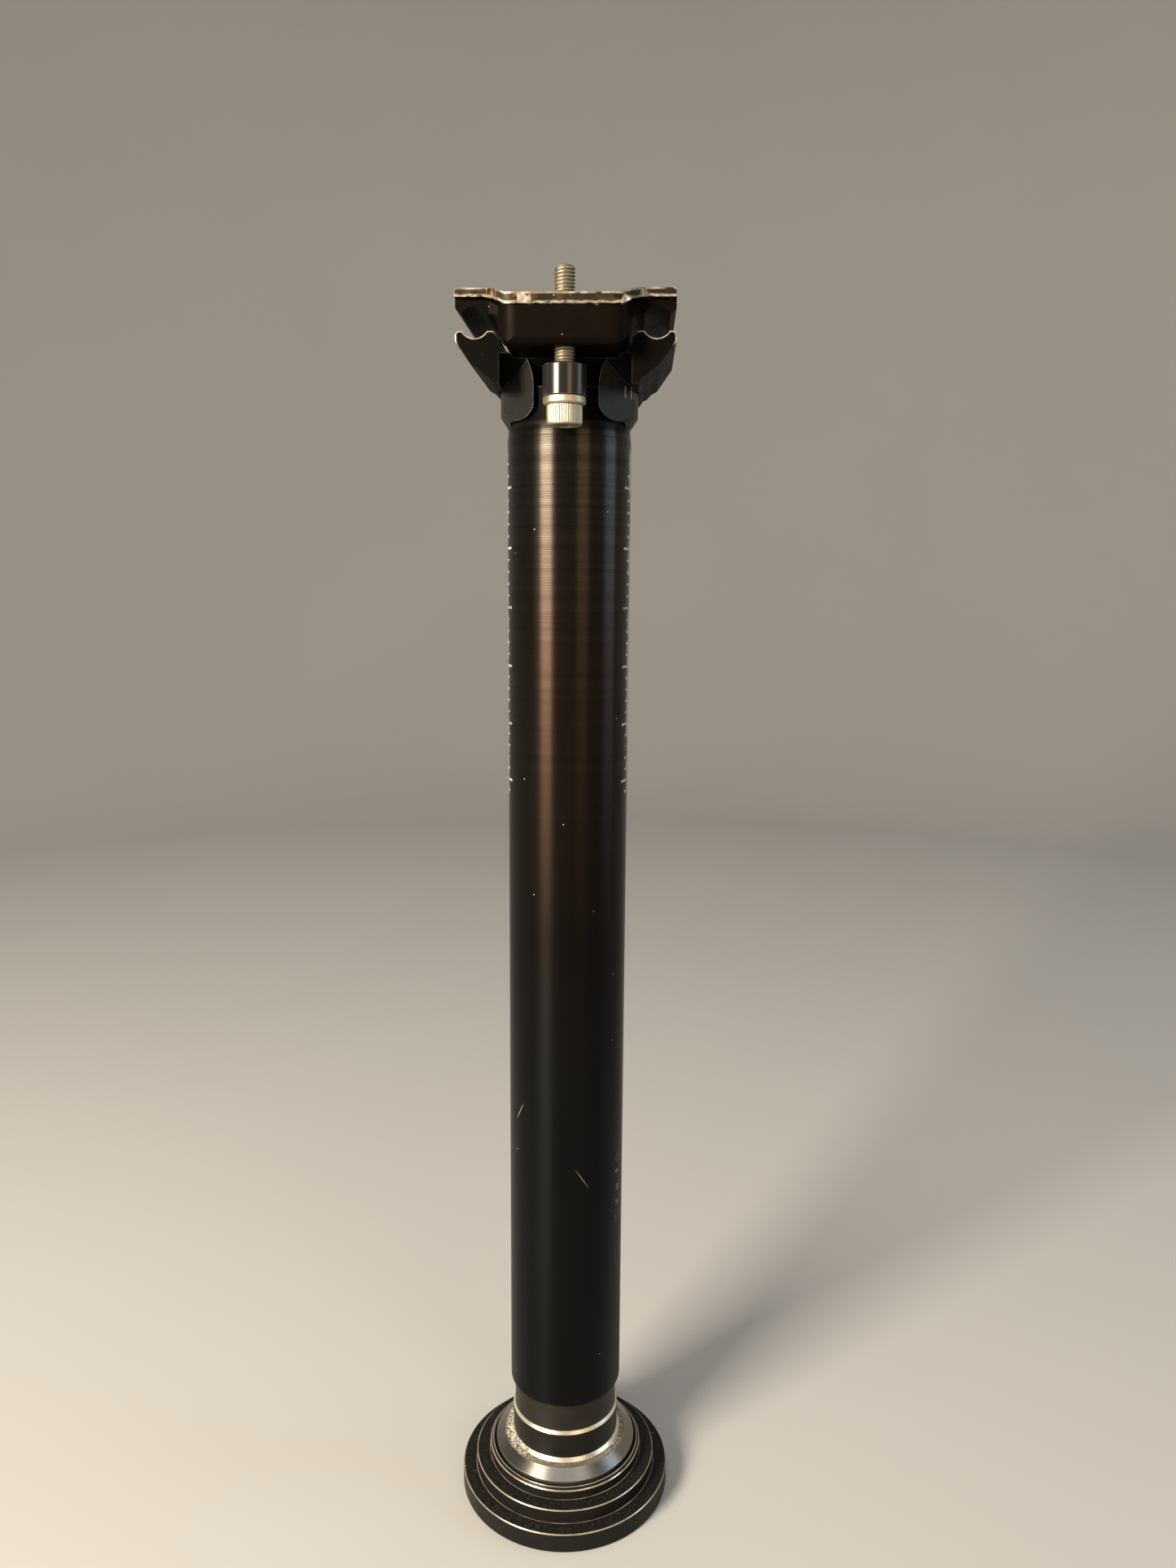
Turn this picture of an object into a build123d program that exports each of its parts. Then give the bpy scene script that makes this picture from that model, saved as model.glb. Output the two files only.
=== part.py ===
from build123d import *
import os

# A bicycle seatpost with a two-bolt saddle clamp, standing on a stepped round foot.
# Millimetres. Z is up, X runs across the bicycle, -Y is the front bolt's side.
# The origin is the centre of the foot's underside. Every part is on the post's centre line.

# ------------------------------------------------------------------ driving dimensions
# Foot: heights of the joints between its rings, from the floor up
FLOOR_Z = 0.0
LARGE_TOP_Z = 5.8
MEDIUM_TOP_Z = 9.7
SMALL_SEAT_Z = 12.0
SMALL_LIP_Z = 12.9
CONE_EDGE_Z = 13.8
CONE_TOP_Z = 15.8
RING_SEAT_Z = 16.2
SLEEVE_Z = 17.1
UPPER_RING_Z = 24.2
STEM_Z = 25.15
TUBE_END_Z = 33.2
SPIGOT_TOP_Z = 45.0

# Foot: radii
LARGE_R = 30.0
MEDIUM_R = 26.0
SMALL_R = 22.0
SMALL_LIP_R = 21.2
SMALL_RECESS_R = 20.7
CONE_EDGE_R = 20.2
CONE_TOP_R = 17.5
SLEEVE_R = 15.2
LOWER_RING_R = 16.0
UPPER_RING_TOP_R = 14.75
STEM_R = 14.6
SPIGOT_R = 13.2
SHANK_R = 12.5
SHANK_CLEARANCE = 0.05
DISC_EDGE = 0.4
DISC_FOOT_EDGE = 0.25

# Foot: the M6 screw that holds the stack together from below
FOOT_SCREW_R = 3.0
FOOT_SCREW_CLEARANCE = 0.25
FOOT_SCREW_HEAD_R = 5.0
FOOT_SCREW_HEAD_H = 2.7
FOOT_SCREW_TOP_Z = 32.0
FOOT_SCREW_SOCKET = 4.0
FOOT_SCREW_SOCKET_DEPTH = 1.6
FOOT_WASHER_R = 7.0
FOOT_WASHER_T = 0.9
FOOT_COUNTERBORE_R = 7.4
FOOT_COUNTERBORE_H = 4.1

# Post: straight tube, shallow relief, flared neck, collar and head turned from one bar
TUBE_R = 15.8
TUBE_BORE_R = 13.3
TUBE_END_ROUND = 1.15
TUBE_BORE_TOP_Z = 288.0
TUBE_BORE_CONE_H = 4.0
RELIEF_Z = 297.2
RELIEF_STEP = 0.08
NECK_R = 15.5
NECK_Z = 299.8
COLLAR_Z = 302.8
HEAD_R = 17.45
HORN_TOP_Z = 315.4
HEAD_FLAT = 16.35

# Tilt axis of the saddle clamp, along X, and the cradle that is concentric with it
TILT_Z = 324.4
CRADLE_R = 16.4
CRADLE_RUNNING_GAP = 0.05

# Channel between the horns of the head, and the bosses that the two bolts pass through
CHANNEL_Z = 308.5
CHANNEL_HALF_BOTTOM = 7.9
CHANNEL_HALF_MIDDLE = 8.4
CHANNEL_HALF_TOP = 9.9
BOLT_Y = 21.0
BOSS_R = 5.25
BOSS_BOTTOM_Z = 305.1
BOSS_TOP_Z = 312.2
BOSS_HOLE_R = 2.9
BOSS_EDGE = 0.35
WEB_HALF = 4.2
WEB_TOP_Z = 311.2
WEB_INNER_Y = 14.0
SCALLOP_CORNER_R = 4.0
LEDGE_HALF = 14.4
LEDGE_Z = 301.0
SCALLOP_BOTTOM_Z = 299.0

# Clamp bolts: M5 socket heads, thread cut as parallel grooves at the thread's pitch
BOLT_HEAD_R = 4.3
BOLT_HEAD_H = 4.8
BOLT_HEAD_ROUND = 0.6
BOLT_SOCKET = 4.0
BOLT_SOCKET_DEPTH = 2.6
BOLT_FLUTES = 48
BOLT_FLUTE_R = 0.17
KNURL_ALLOWANCE = 0.02
THREAD_R = 2.45
THREAD_ROOT_R = 2.05
THREAD_PITCH = 0.8
THREAD_TURNS = 34
BOLT_TIP_Z = 334.2
BOLT_TIP_H = 0.5
WASHER_R = 5.1
WASHER_HOLE_R = 2.7
WASHER_T = 2.0
WASHER_EDGE = 0.35

# Saddle rails: two 7 mm rails, held in grooves along Y
RAIL_X = 21.7
RAIL_Z = 322.3
GROOVE_R = 3.55
GROOVE_HALF_LENGTH = 18.5
GROOVE_MARGIN = 0.1

# Lower clamp
LOWER_FLOOR_Z = 315.3
LOWER_CHANNEL_HALF = 15.8
LOWER_LIP_Z = 320.4
LOWER_HALF_WIDTH = 26.3
LOWER_LIP_X = (17.2, 25.6)
WING_BOTTOM_Z = 308.4
WING_CHANNEL_TOP_Z = 318.8
CHANNEL_CORNER_R = 3.5
WING_EDGE_Z = (318.0, 319.7)
WING_UNDERSIDE = [(22.4, 312.4), (20.9, 311.6), (19.7, 310.3), (18.7, 309.9), (17.7, WING_BOTTOM_Z)]
HEAD_SWEEP_R = 18.5
HEAD_SWEEP_Z = 317.5

# Upper clamp
UPPER_HALF_WIDTH = 26.2
UPPER_HALF_LENGTH = 26.8
UPPER_CORNER_R = 4.5
PLATE_HALF_LENGTH = 27.4
PLATE_EAR_HALF_LENGTH = 20.0
PLATE_OVERHANG = 0.6
PLATE_SHOULDER_X = 14.5
PLATE_EAR_T = 2.1
PLATE_MIDDLE_T = 2.6
PLATE_EDGE = 0.35
UPPER_EAR_TOP_Z = 329.8
UPPER_EAR_BOTTOM_Z = 324.2
UPPER_MIDDLE_TOP_Z = 327.15
UPPER_MIDDLE_HALF = 13.5
UPPER_RAMP_X = 18.5
UPPER_EAR_CHAMFER = 1.3
TROUGH_HALF = 15.5
TROUGH_BOTTOM_Z = 315.7
TROUGH_CORNER_R = 5.0
TROUGH_FLARE_R = 2.3
TROUGH_END_ROUND = 2.0
POCKET_HALF_WIDTH = 12.4
POCKET_HALF_LENGTH = 13.2
POCKET_FLOOR_Z = 319.2
POCKET_CORNER_R = 3.0
HORN_NOTCH_X = 7.5
HORN_NOTCH_Y = (12.6, 17.7)
HORN_NOTCH_Z = 318.3

# Barrel nuts in the upper clamp, along X
NUT_Z = 323.5
NUT_R = 4.9
NUT_SEAT_R = 5.0
NUT_HALF_LENGTH = 7.25
NUT_END_GAP = 0.15
NUT_BORE_R = 3.1
NUT_EDGE = 0.4
BOLT_SLOT_HALF = 2.9
BOLT_SLOT_Y = (17.2, 24.9)

# Lengths that only have to reach past the material they cut
PAST = 2.0
FAR = 60.0

# Sine of 45 degrees, for the middle point of a quarter-circle arc
ARC_MIDDLE = 0.7071

BOLT_HEAD_BOTTOM_Z = BOSS_BOTTOM_Z - WASHER_T - BOLT_HEAD_H
WASHER_BOTTOM_Z = BOSS_BOTTOM_Z - WASHER_T


# ------------------------------------------------------------------ helpers
def turned(*points):
    """A turned solid: the outline is given as (radius, height) points."""
    outline = Polyline(*points, close=True)
    return revolve(Plane.XZ * make_face(outline.edges()), Axis.Z)


def upright(radius, low_z, high_z, x=0.0, y=0.0):
    """An upright cylinder between two heights."""
    body = Cylinder(radius, high_z - low_z, align=(Align.CENTER, Align.CENTER, Align.MIN))
    return Pos(x, y, low_z) * body


def across(radius, length, y, z):
    """A cylinder along X, centred on X = 0."""
    return Pos(0, y, z) * Rot(0, 90, 0) * Cylinder(radius, length)


def block(x, y, z):
    """A box between pairs of limits on each axis."""
    size = Box(x[1] - x[0], y[1] - y[0], z[1] - z[0])
    return Pos((x[0] + x[1]) / 2, (y[0] + y[1]) / 2, (z[0] + z[1]) / 2) * size


def along_y(outline, half_length):
    """A front-view (X, Z) face carried along Y to both sides of the centre."""
    return extrude(Plane.XZ * outline, half_length, both=True)


def hex_socket(across_flats, depth, z):
    """A hexagonal key socket that opens downwards at height z."""
    face = RegularPolygon(across_flats / 2, 6, major_radius=False)
    return Pos(0, 0, z) * extrude(face, depth)


def both_ends(shape):
    """The shape and its mirror image behind the centre plane."""
    return shape + mirror(shape, Plane.XZ)


# ------------------------------------------------------------------ foot
def foot_disc_large():
    hole_r = FOOT_SCREW_R + FOOT_SCREW_CLEARANCE
    return turned(
        (FOOT_COUNTERBORE_R, FLOOR_Z),
        (LARGE_R - DISC_EDGE, FLOOR_Z),
        (LARGE_R, FLOOR_Z + DISC_EDGE),
        (LARGE_R, LARGE_TOP_Z - DISC_EDGE),
        (LARGE_R - DISC_EDGE, LARGE_TOP_Z),
        (hole_r, LARGE_TOP_Z),
        (hole_r, FOOT_COUNTERBORE_H),
        (FOOT_COUNTERBORE_R, FOOT_COUNTERBORE_H),
    )


def foot_disc_medium():
    hole_r = FOOT_SCREW_R + FOOT_SCREW_CLEARANCE
    return turned(
        (hole_r, LARGE_TOP_Z),
        (MEDIUM_R - DISC_FOOT_EDGE, LARGE_TOP_Z),
        (MEDIUM_R, LARGE_TOP_Z + DISC_FOOT_EDGE),
        (MEDIUM_R, MEDIUM_TOP_Z - DISC_EDGE),
        (MEDIUM_R - DISC_EDGE, MEDIUM_TOP_Z),
        (hole_r, MEDIUM_TOP_Z),
    )


def foot_disc_small():
    hole_r = FOOT_SCREW_R + FOOT_SCREW_CLEARANCE
    return turned(
        (hole_r, MEDIUM_TOP_Z),
        (SMALL_R - DISC_FOOT_EDGE, MEDIUM_TOP_Z),
        (SMALL_R, MEDIUM_TOP_Z + DISC_FOOT_EDGE),
        (SMALL_R, SMALL_SEAT_Z),
        (SMALL_LIP_R, SMALL_LIP_Z),
        (SMALL_RECESS_R, SMALL_LIP_Z),
        (SMALL_RECESS_R, SMALL_SEAT_Z),
        (hole_r, SMALL_SEAT_Z),
    )


def foot_cone_ring():
    hole_r = FOOT_SCREW_R + FOOT_SCREW_CLEARANCE
    return turned(
        (hole_r, SMALL_SEAT_Z),
        (CONE_EDGE_R, SMALL_SEAT_Z),
        (CONE_EDGE_R, CONE_EDGE_Z),
        (CONE_TOP_R, CONE_TOP_Z),
        (LOWER_RING_R, RING_SEAT_Z),
        (hole_r, RING_SEAT_Z),
    )


def foot_band(low_z, high_z, low_r, high_r):
    """A ring of the stack that is threaded over the stem's shank."""
    hole_r = SHANK_R + SHANK_CLEARANCE
    return turned((hole_r, low_z), (low_r, low_z), (high_r, high_z), (hole_r, high_z))


def foot_stem():
    """The stem that shows below the tube, with the shank under it and the spigot above it."""
    lead = 1.0
    return turned(
        (FOOT_SCREW_R, RING_SEAT_Z),
        (SHANK_R, RING_SEAT_Z),
        (SHANK_R, STEM_Z),
        (STEM_R, STEM_Z),
        (STEM_R, TUBE_END_Z),
        (SPIGOT_R, TUBE_END_Z),
        (SPIGOT_R, SPIGOT_TOP_Z - lead),
        (SPIGOT_R - lead, SPIGOT_TOP_Z),
        (0, SPIGOT_TOP_Z),
        (0, FOOT_SCREW_TOP_Z + lead),
        (FOOT_SCREW_R, FOOT_SCREW_TOP_Z + lead),
    )


def foot_washer():
    return turned(
        (FOOT_SCREW_R + FOOT_SCREW_CLEARANCE, FOOT_COUNTERBORE_H - FOOT_WASHER_T),
        (FOOT_WASHER_R, FOOT_COUNTERBORE_H - FOOT_WASHER_T),
        (FOOT_WASHER_R, FOOT_COUNTERBORE_H),
        (FOOT_SCREW_R + FOOT_SCREW_CLEARANCE, FOOT_COUNTERBORE_H),
    )


def foot_screw():
    """A low-head M6 screw; its thread is drawn at the bore's size, 0.02 mm clear."""
    head_top = FOOT_COUNTERBORE_H - FOOT_WASHER_T
    head_bottom = head_top - FOOT_SCREW_HEAD_H
    shank_r = FOOT_SCREW_R - 0.02
    body = turned(
        (0, head_bottom),
        (FOOT_SCREW_HEAD_R, head_bottom),
        (FOOT_SCREW_HEAD_R, head_top),
        (shank_r, head_top),
        (shank_r, FOOT_SCREW_TOP_Z),
        (0, FOOT_SCREW_TOP_Z),
    )
    return body - hex_socket(FOOT_SCREW_SOCKET, FOOT_SCREW_SOCKET_DEPTH, head_bottom)


# ------------------------------------------------------------------ post
def post_blank():
    """The tube, neck, collar and head before the head is milled."""
    middle = TUBE_END_ROUND * (1 - ARC_MIDDLE)
    end_arc = ThreePointArc(
        (TUBE_R - TUBE_END_ROUND, TUBE_END_Z),
        (TUBE_R - middle, TUBE_END_Z + middle),
        (TUBE_R, TUBE_END_Z + TUBE_END_ROUND),
    )
    wall = Polyline(
        (TUBE_R, TUBE_END_Z + TUBE_END_ROUND),
        (TUBE_R, RELIEF_Z),
        (TUBE_R - RELIEF_STEP, RELIEF_Z + RELIEF_STEP),
        (NECK_R, NECK_Z),
        (HEAD_R, COLLAR_Z),
        (HEAD_R, HORN_TOP_Z),
        (0, HORN_TOP_Z),
        (0, TUBE_BORE_TOP_Z + TUBE_BORE_CONE_H),
        (TUBE_BORE_R, TUBE_BORE_TOP_Z),
        (TUBE_BORE_R, TUBE_END_Z),
        (TUBE_R - TUBE_END_ROUND, TUBE_END_Z),
    )
    return revolve(Plane.XZ * make_face(end_arc.edges() + wall.edges()), Axis.Z)


def bolt_scallops():
    """Rounded clearance round each boss, cut in the head but not in the neck inside it."""
    outline = Polyline(
        (-LEDGE_HALF, SCALLOP_BOTTOM_Z),
        (-LEDGE_HALF, LEDGE_Z),
        (-CHANNEL_HALF_BOTTOM, LEDGE_Z),
        (-CHANNEL_HALF_BOTTOM, CHANNEL_Z),
        (CHANNEL_HALF_BOTTOM, CHANNEL_Z),
        (CHANNEL_HALF_BOTTOM, LEDGE_Z),
        (LEDGE_HALF, LEDGE_Z),
        (LEDGE_HALF, SCALLOP_BOTTOM_Z),
        close=True,
    )
    face = make_face(outline.edges())
    inner = [corner for corner in face.vertices() if abs(corner.X) < LEDGE_HALF and corner.Y < CHANNEL_Z]
    cut = along_y(fillet(inner, SCALLOP_CORNER_R), HEAD_R + PAST)
    return cut - upright(NECK_R, SCALLOP_BOTTOM_Z - PAST, CHANNEL_Z + PAST)


def head_flats():
    """Four shallow flats milled on the outside of the head, one for each horn."""
    beyond = block((HEAD_FLAT, FAR), (-HEAD_R, HEAD_R), (NECK_Z, HORN_TOP_Z + PAST))
    cut = Rot(0, 0, 45) * beyond
    for turn in (135, 225, 315):
        cut += Rot(0, 0, turn) * beyond
    return cut


def horn_channel():
    """The channel along Y that leaves four rounded horns standing on the head."""
    top = HORN_TOP_Z + PAST
    middle = (CHANNEL_Z + HORN_TOP_Z) / 2
    right = ThreePointArc(
        (CHANNEL_HALF_BOTTOM, CHANNEL_Z),
        (CHANNEL_HALF_MIDDLE, middle),
        (CHANNEL_HALF_TOP, HORN_TOP_Z),
    )
    left = mirror(right, Plane.YZ)
    floor = Line((-CHANNEL_HALF_BOTTOM, CHANNEL_Z), (CHANNEL_HALF_BOTTOM, CHANNEL_Z))
    lid = Polyline(
        (CHANNEL_HALF_TOP, HORN_TOP_Z),
        (CHANNEL_HALF_TOP, top),
        (-CHANNEL_HALF_TOP, top),
        (-CHANNEL_HALF_TOP, HORN_TOP_Z),
    )
    edges = right.edges() + left.edges() + floor.edges() + lid.edges()
    return along_y(make_face(edges), HEAD_R + PAST)


def bolt_boss():
    """One boss in front of the head, with the web that ties it back to the head."""
    boss = turned(
        (0, BOSS_BOTTOM_Z),
        (BOSS_R, BOSS_BOTTOM_Z),
        (BOSS_R, BOSS_TOP_Z - BOSS_EDGE),
        (BOSS_R - BOSS_EDGE, BOSS_TOP_Z),
        (0, BOSS_TOP_Z),
    )
    web = block((-WEB_HALF, WEB_HALF), (-BOLT_Y, -WEB_INNER_Y), (BOSS_BOTTOM_Z, WEB_TOP_Z))
    return Pos(0, -BOLT_Y, 0) * boss + web


def post_body():
    head = post_blank() - head_flats() - bolt_scallops() - horn_channel()
    head -= across(CRADLE_R, FAR, 0, TILT_Z)
    head += both_ends(bolt_boss())
    holes = both_ends(upright(BOSS_HOLE_R, SCALLOP_BOTTOM_Z, HORN_TOP_Z, y=-BOLT_Y))
    return head - holes


# ------------------------------------------------------------------ bolts, washers, nuts
def clamp_washer():
    return turned(
        (WASHER_HOLE_R, WASHER_BOTTOM_Z),
        (WASHER_R - WASHER_EDGE, WASHER_BOTTOM_Z),
        (WASHER_R, WASHER_BOTTOM_Z + WASHER_EDGE),
        (WASHER_R, BOSS_BOTTOM_Z - WASHER_EDGE),
        (WASHER_R - WASHER_EDGE, BOSS_BOTTOM_Z),
        (WASHER_HOLE_R, BOSS_BOTTOM_Z),
    )


def bolt_head():
    """A knurled socket head: a turned blank with flutes around its side."""
    blank = turned(
        (0, BOLT_HEAD_BOTTOM_Z),
        (BOLT_HEAD_R - BOLT_HEAD_ROUND, BOLT_HEAD_BOTTOM_Z),
        (BOLT_HEAD_R, BOLT_HEAD_BOTTOM_Z + BOLT_HEAD_ROUND),
        (BOLT_HEAD_R, WASHER_BOTTOM_Z),
        (0, WASHER_BOTTOM_Z),
    )
    knurl = Circle(BOLT_HEAD_R + KNURL_ALLOWANCE)
    for spot in PolarLocations(BOLT_HEAD_R, BOLT_FLUTES):
        knurl -= spot * Circle(BOLT_FLUTE_R)
    knurl_height = BOLT_HEAD_H + PAST
    body = blank & Pos(0, 0, BOLT_HEAD_BOTTOM_Z) * extrude(knurl, knurl_height)
    return body - hex_socket(BOLT_SOCKET, BOLT_SOCKET_DEPTH, BOLT_HEAD_BOTTOM_Z)


def bolt_shank():
    """The shank: parallel V grooves at the thread's pitch, from just below the tip downwards."""
    thread_top = BOLT_TIP_Z - BOLT_TIP_H
    outline = [(0, BOLT_TIP_Z), (THREAD_ROOT_R, BOLT_TIP_Z)]
    for turn in range(THREAD_TURNS):
        crest = thread_top - turn * THREAD_PITCH
        outline.append((THREAD_R, crest))
        outline.append((THREAD_R, crest - THREAD_PITCH / 8))
        outline.append((THREAD_ROOT_R, crest - THREAD_PITCH / 2))
        outline.append((THREAD_ROOT_R, crest - THREAD_PITCH * 5 / 8))
    thread_end = thread_top - THREAD_TURNS * THREAD_PITCH
    outline += [(THREAD_R, thread_end), (THREAD_R, WASHER_BOTTOM_Z), (0, WASHER_BOTTOM_Z)]
    return turned(*outline)


def clamp_bolt():
    return bolt_head() + bolt_shank()


def barrel_nut():
    """A cross-drilled barrel; the hole is a running clearance round the bolt's thread."""
    barrel = across(NUT_R, 2 * NUT_HALF_LENGTH, 0, NUT_Z)
    ends = barrel.edges().filter_by(GeomType.CIRCLE)
    barrel = chamfer(ends, NUT_EDGE)
    return barrel - upright(NUT_BORE_R, NUT_Z - 2 * NUT_R, NUT_Z + 2 * NUT_R)


# ------------------------------------------------------------------ clamps
def rail_grooves():
    """Both rail grooves as one cutter."""
    groove = Rot(90, 0, 0) * Cylinder(GROOVE_R, FAR)
    return Pos(-RAIL_X, 0, RAIL_Z) * groove + Pos(RAIL_X, 0, RAIL_Z) * groove


def lower_wing():
    """One wing of the lower clamp: channel wall, rail lips and stepped underside."""
    outline = Polyline(
        (LOWER_CHANNEL_HALF, WING_BOTTOM_Z),
        (LOWER_CHANNEL_HALF, WING_CHANNEL_TOP_Z),
        (LOWER_LIP_X[0], LOWER_LIP_Z),
        (LOWER_LIP_X[1], LOWER_LIP_Z),
        (LOWER_HALF_WIDTH, WING_EDGE_Z[1]),
        (LOWER_HALF_WIDTH, WING_EDGE_Z[0]),
        *WING_UNDERSIDE,
        close=True,
    )
    return along_y(make_face(outline.edges()), GROOVE_HALF_LENGTH)


def channel_corner():
    """The rounded corner between the channel's floor and one of its walls."""
    corner_x = LOWER_CHANNEL_HALF - CHANNEL_CORNER_R
    corner_z = LOWER_FLOOR_Z + CHANNEL_CORNER_R
    length = (-GROOVE_HALF_LENGTH, GROOVE_HALF_LENGTH)
    fill = block((corner_x, LOWER_CHANNEL_HALF), length, (LOWER_FLOOR_Z, corner_z))
    return fill - Pos(corner_x, 0, corner_z) * Rot(90, 0, 0) * Cylinder(CHANNEL_CORNER_R, FAR)


def lower_clamp():
    """The rocker in the head's cradle, with a wing at each side that carries a rail."""
    rocker_r = CRADLE_R - CRADLE_RUNNING_GAP
    rocker = across(rocker_r, 2 * LOWER_CHANNEL_HALF, 0, TILT_Z)
    rocker &= block((-FAR, FAR), (-FAR, FAR), (TILT_Z - FAR, LOWER_FLOOR_Z))
    wing = lower_wing() + channel_corner()
    sweep = upright(HEAD_SWEEP_R, TILT_Z - 2 * HEAD_R, HEAD_SWEEP_Z)
    sweep -= across(rocker_r, FAR, 0, TILT_Z)
    return rocker + wing + mirror(wing, Plane.YZ) - sweep - rail_grooves()


def upper_front_view():
    """The upper clamp's front outline: trough, flares, ears, and the lowered middle."""
    flare_z = UPPER_EAR_BOTTOM_Z - TROUGH_FLARE_R
    corner_z = TROUGH_BOTTOM_Z + TROUGH_CORNER_R
    corner_x = TROUGH_HALF - TROUGH_CORNER_R
    lower_corner = ThreePointArc(
        (corner_x, TROUGH_BOTTOM_Z),
        (corner_x + TROUGH_CORNER_R * ARC_MIDDLE, corner_z - TROUGH_CORNER_R * ARC_MIDDLE),
        (TROUGH_HALF, corner_z),
    )
    side = Line((TROUGH_HALF, corner_z), (TROUGH_HALF, flare_z))
    flare_x = TROUGH_HALF + TROUGH_FLARE_R
    flare = ThreePointArc(
        (TROUGH_HALF, flare_z),
        (flare_x - TROUGH_FLARE_R * ARC_MIDDLE, flare_z + TROUGH_FLARE_R * ARC_MIDDLE),
        (flare_x, UPPER_EAR_BOTTOM_Z),
    )
    ear = Polyline(
        (flare_x, UPPER_EAR_BOTTOM_Z),
        (UPPER_HALF_WIDTH - UPPER_EAR_CHAMFER, UPPER_EAR_BOTTOM_Z),
        (UPPER_HALF_WIDTH, UPPER_EAR_BOTTOM_Z + UPPER_EAR_CHAMFER),
        (UPPER_HALF_WIDTH, UPPER_EAR_TOP_Z),
        (UPPER_RAMP_X, UPPER_EAR_TOP_Z),
        (UPPER_MIDDLE_HALF, UPPER_MIDDLE_TOP_Z),
    )
    half = Curve() + [lower_corner, side, flare, ear]
    top = Line((-UPPER_MIDDLE_HALF, UPPER_MIDDLE_TOP_Z), (UPPER_MIDDLE_HALF, UPPER_MIDDLE_TOP_Z))
    bottom = Line((-corner_x, TROUGH_BOTTOM_Z), (corner_x, TROUGH_BOTTOM_Z))
    edges = half.edges() + mirror(half, Plane.YZ).edges() + top.edges() + bottom.edges()
    return make_face(edges)


def upper_side_view():
    """The upper clamp's side outline, with its lower end edges rounded."""
    low = TROUGH_BOTTOM_Z
    high = UPPER_EAR_TOP_Z
    outline = Polyline(
        (-UPPER_HALF_LENGTH, low),
        (UPPER_HALF_LENGTH, low),
        (UPPER_HALF_LENGTH, high),
        (-UPPER_HALF_LENGTH, high),
        close=True,
    )
    face = make_face(outline.edges())
    corners = face.vertices().group_by(Axis.Y)[0]
    return extrude(Plane.YZ * fillet(corners, TROUGH_END_ROUND), FAR, both=True)


def column(quarter, corner_r):
    """An upright column: one quarter of its plan, mirrored to all four, with round end corners."""
    front = [(x, -y) for x, y in quarter]
    back_left = [(-x, y) for x, y in reversed(quarter)]
    front_left = [(-x, -y) for x, y in quarter]
    points = quarter + back_left + front_left + list(reversed(front))
    face = make_face(Polyline(*points, close=True).edges())
    end = max(y for x, y in quarter)
    corners = [corner for corner in face.vertices() if abs(abs(corner.Y) - end) < 0.5 * corner_r]
    return extrude(fillet(corners, corner_r), UPPER_EAR_TOP_Z + PAST)


def upper_plate():
    """The plate: it stands proud of the trough and the ears, and is lower in the middle."""
    ear_low = UPPER_EAR_TOP_Z - PLATE_EAR_T
    middle_low = UPPER_MIDDLE_TOP_Z - PLATE_MIDDLE_T
    right = [
        (UPPER_MIDDLE_HALF, UPPER_MIDDLE_TOP_Z),
        (UPPER_RAMP_X, UPPER_EAR_TOP_Z),
        (UPPER_HALF_WIDTH - PLATE_EDGE, UPPER_EAR_TOP_Z),
        (UPPER_HALF_WIDTH, UPPER_EAR_TOP_Z - PLATE_EDGE),
        (UPPER_HALF_WIDTH, ear_low),
        (UPPER_RAMP_X + PLATE_OVERHANG, ear_low),
        (UPPER_MIDDLE_HALF, middle_low),
    ]
    left = [(-x, z) for x, z in reversed(right)]
    face = make_face(Polyline(*(right + left), close=True).edges())
    quarter = [
        (UPPER_HALF_WIDTH, PLATE_EAR_HALF_LENGTH),
        (UPPER_RAMP_X, PLATE_EAR_HALF_LENGTH),
        (PLATE_SHOULDER_X, PLATE_HALF_LENGTH),
    ]
    return along_y(face, PLATE_HALF_LENGTH) & column(quarter, UPPER_CORNER_R + PLATE_OVERHANG)


def upper_plan():
    """The upper clamp's plan outline: wide at the rails, narrower at the bolts."""
    quarter = [
        (UPPER_HALF_WIDTH, GROOVE_HALF_LENGTH),
        (RAIL_X - GROOVE_R - GROOVE_MARGIN, GROOVE_HALF_LENGTH),
        (TROUGH_HALF, GROOVE_HALF_LENGTH + 2 * PLATE_OVERHANG),
        (TROUGH_HALF, UPPER_HALF_LENGTH),
    ]
    return column(quarter, UPPER_CORNER_R)


def top_pocket():
    """The open pocket in the middle of the upper clamp."""
    outline = RectangleRounded(2 * POCKET_HALF_WIDTH, 2 * POCKET_HALF_LENGTH, POCKET_CORNER_R)
    return Pos(0, 0, POCKET_FLOOR_Z) * extrude(outline, FAR)


def nut_seat():
    """One barrel nut's seat: round at the bottom, open at the top, slotted for the bolt."""
    half = NUT_HALF_LENGTH + NUT_END_GAP
    seat = across(NUT_SEAT_R, 2 * half, -BOLT_Y, NUT_Z)
    mouth_y = (-BOLT_Y - NUT_SEAT_R, -BOLT_Y + NUT_SEAT_R)
    mouth = block((-half, half), mouth_y, (NUT_Z, UPPER_EAR_TOP_Z + PAST))
    slot_y = (-BOLT_SLOT_Y[1], -BOLT_SLOT_Y[0])
    slot_z = (TROUGH_BOTTOM_Z - PAST, NUT_Z)
    slot = block((-BOLT_SLOT_HALF, BOLT_SLOT_HALF), slot_y, slot_z)
    return seat + mouth + slot


def horn_notches():
    """Clearance under the trough for the head's horns, so that the clamp can tilt."""
    depth = (TROUGH_BOTTOM_Z - PAST, HORN_NOTCH_Z)
    right = block((HORN_NOTCH_X, TROUGH_HALF + PAST), (-HORN_NOTCH_Y[1], -HORN_NOTCH_Y[0]), depth)
    return right + mirror(right, Plane.YZ)


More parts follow.
